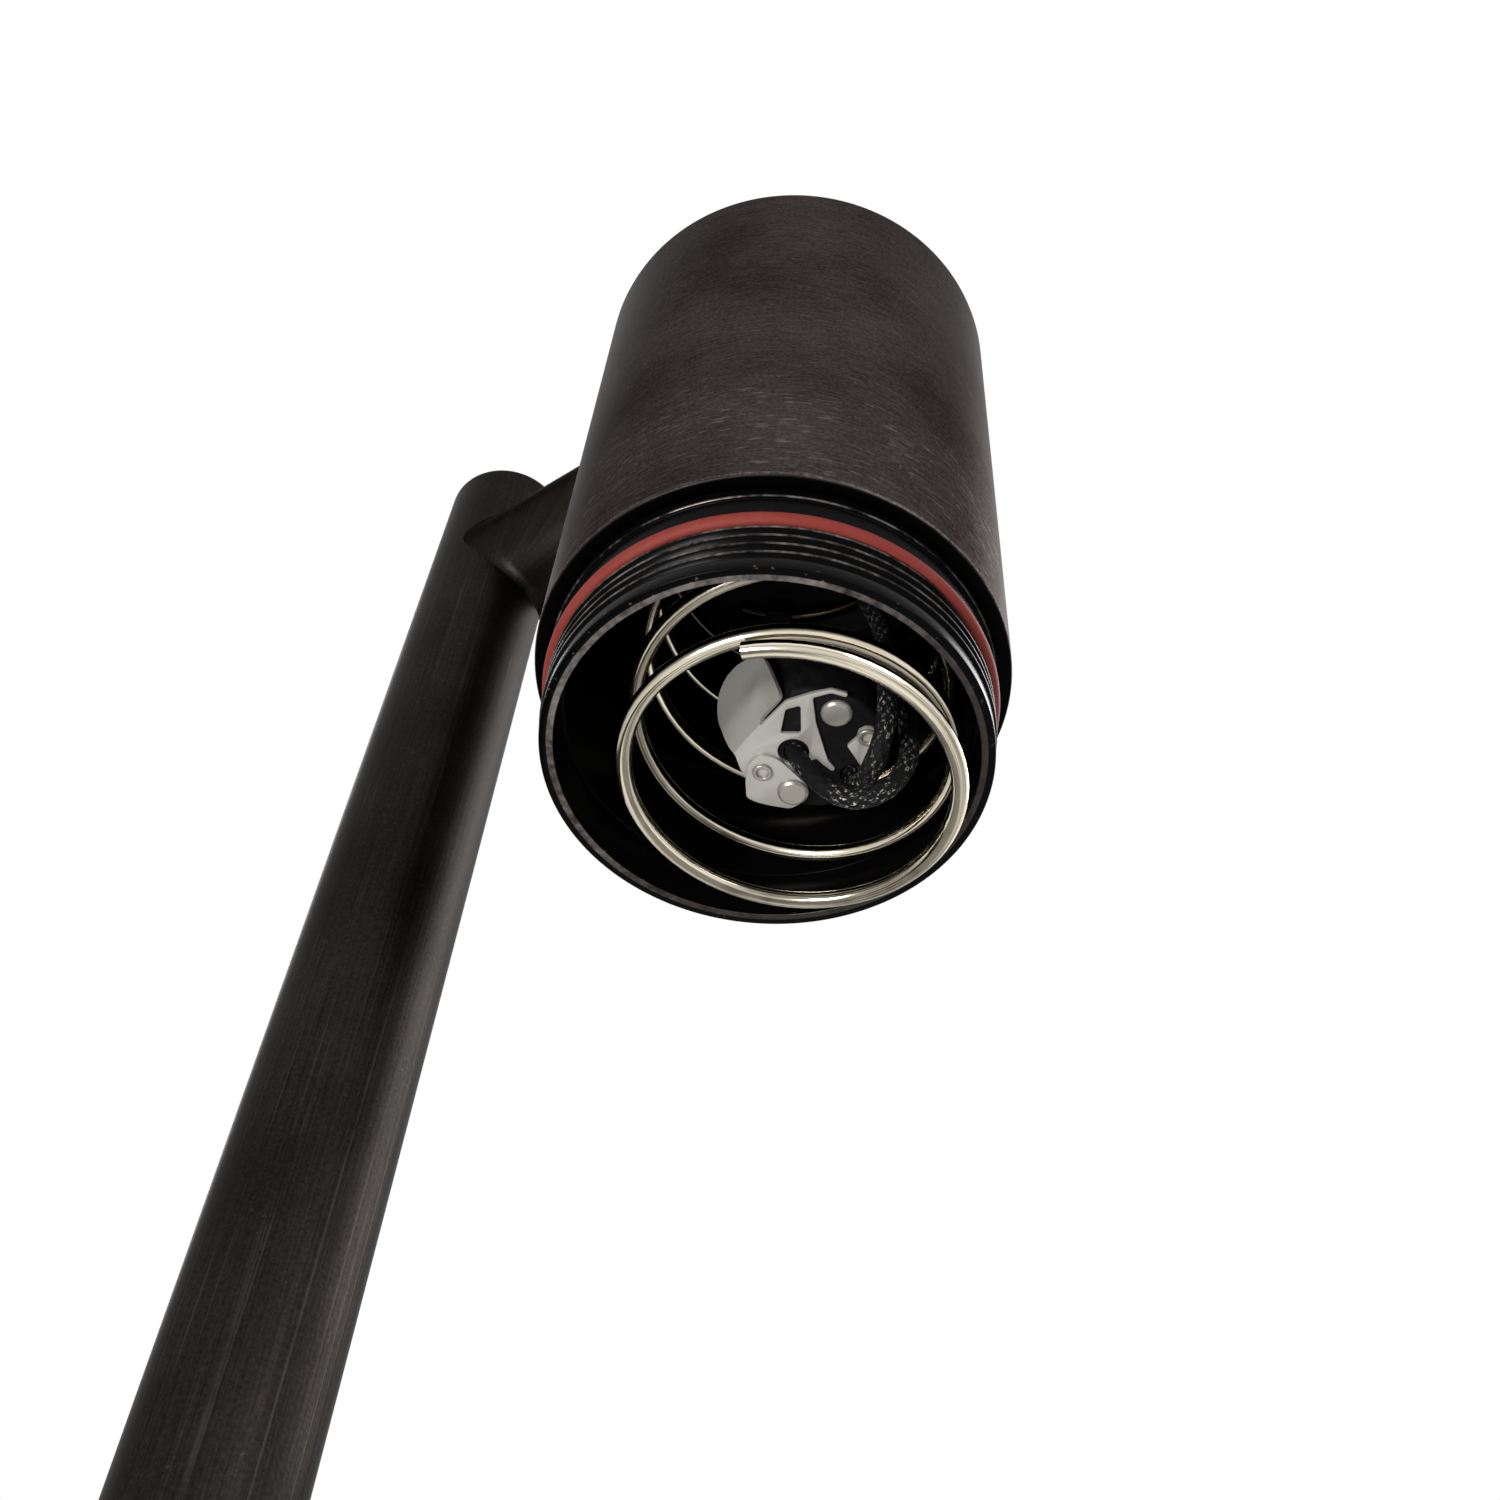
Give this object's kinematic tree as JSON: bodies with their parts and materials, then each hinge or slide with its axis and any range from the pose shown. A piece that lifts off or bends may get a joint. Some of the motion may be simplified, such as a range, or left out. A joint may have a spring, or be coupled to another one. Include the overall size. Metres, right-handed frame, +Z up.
{
  "type": "garden down-light on stake",
  "caption": "Staked low-voltage garden down-light: bronze cylinder head on a side arm and stem, lens cap off, spring and lampholder showing.",
  "frame": {"origin": "on the stem's axis at ground level, where the stake's hub meets the soil", "axes": "+Z up along the stem; +X from the stem along the arm to the head"},
  "size_m": [0.1213, 0.0646, 0.6986],
  "materials": {
    "bronze_head": "gunmetal bronze, brushed round the axis, satin",
    "bronze_stem": "dark gunmetal bronze, brushed lengthwise, satin",
    "black_collar": "turned and blackened, glossy",
    "plain_brass": "plain turned brass",
    "red_silicone": "brick red silicone",
    "black_rubber": "black rubber",
    "black_plate": "black, matt",
    "spring_steel": "phosphated",
    "bright_wire": "bright drawn stainless wire",
    "bracket_steel": "satin stainless sheet",
    "bright_rivet": "nickel plated",
    "black_ceramic": "black, unglazed",
    "black_sleeve": "woven heat-resistant sleeve",
    "red_splice": "insulated crimp",
    "riser_sheath": "black cable sheath",
    "stake_plastic": "black moulded plastic"
  },
  "bodies": {
    "stake": {"ground_stake": "stake_plastic", "stake_insert": "plain_brass"},
    "fixture": {"stem_nipple": "plain_brass", "lock_nut": "bronze_stem", "cable_plug": "black_rubber", "stem_tube": "bronze_stem", "stem_cap": "bronze_stem", "support_arm": "bronze_stem", "head_shell": "bronze_head", "threaded_collar": "black_collar", "o_ring": "red_silicone", "head_plate": "black_plate", "retaining_ring": "spring_steel", "plate_grommet": "black_rubber", "arm_grommet": "black_rubber", "lead_1": "black_sleeve", "lead_2": "black_sleeve", "splice_1": "red_splice", "splice_2": "red_splice", "riser_lead_1": "riser_sheath", "riser_lead_2": "riser_sheath"},
    "lampholder": {"lampholder_body": "black_ceramic", "lampholder_cap": "black_ceramic", "lampholder_bracket": "bracket_steel", "terminal_tabs": "bracket_steel", "bracket_eyelets": "bright_rivet", "contact_rivets": "bright_rivet", "contact_clip_1": "plain_brass", "contact_clip_2": "plain_brass"},
    "spring": {"lamp_spring": "bright_wire"}
  },
  "joints": [
    {"name": "stem_swivel", "type": "hinge", "parent": "stake", "child": "fixture", "pos_m": [0, 0, 0], "axis": [0, 0, 1], "range_deg": [-180, 180]},
    {"name": "lampholder_pull", "type": "slide", "parent": "fixture", "child": "lampholder", "axis": [0, 0, 1], "range_m": [-0.04, 0.015], "deforming": ["lead_1", "lead_2"]},
    {"name": "spring_press", "type": "slide", "parent": "fixture", "child": "spring", "axis": [0, 0, 1], "range_m": [0, 0.022], "stiffness_N_per_m": 250, "deforming": ["lamp_spring"]}
  ]
}
